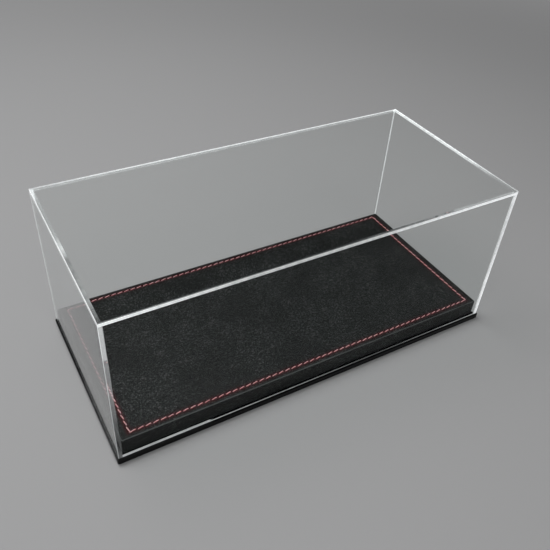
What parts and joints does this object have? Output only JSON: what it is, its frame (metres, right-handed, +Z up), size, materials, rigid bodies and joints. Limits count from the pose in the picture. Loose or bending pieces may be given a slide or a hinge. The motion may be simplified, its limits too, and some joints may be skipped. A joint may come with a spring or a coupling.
{
  "type": "model car display case",
  "caption": "Clear acrylic lift-off cover over a leather-wrapped plinth with a red stitched seam, on a thin gloss black base plate.",
  "frame": {"origin": "on the surface the case stands on, under the middle of the base plate", "axes": "+X along the case's length to the right, +Y from front to back, +Z up"},
  "size_m": [0.3426, 0.1606, 0.138],
  "materials": {
    "clear_acrylic": "clear, polished, bright at the edges",
    "black_acrylic": "gloss",
    "black_leather": "fine grain, satin",
    "red_thread": "twisted thread with a soft sheen",
    "fibre_board": "raw fibre board",
    "mounting_foam": "matte foam strip",
    "pad_rubber": "matte"
  },
  "bodies": {
    "base": {"base_plate": "black_acrylic", "pad_front_left": "pad_rubber", "pad_front_right": "pad_rubber", "pad_back_left": "pad_rubber", "pad_back_right": "pad_rubber", "plinth_board": "fibre_board", "plinth_leather": "black_leather", "stitches_front": "red_thread", "stitches_right": "red_thread", "stitches_back": "red_thread", "stitches_left": "red_thread", "mounting_strip_front": "mounting_foam", "mounting_strip_back": "mounting_foam"},
    "cover": {"pane_front": "clear_acrylic", "pane_back": "clear_acrylic", "pane_left": "clear_acrylic", "pane_right": "clear_acrylic", "pane_top": "clear_acrylic"}
  },
  "joints": [
    {"name": "cover_lift", "type": "slide", "parent": "base", "child": "cover", "axis": [0, 0, 1], "range_m": [0, 0.16]}
  ]
}
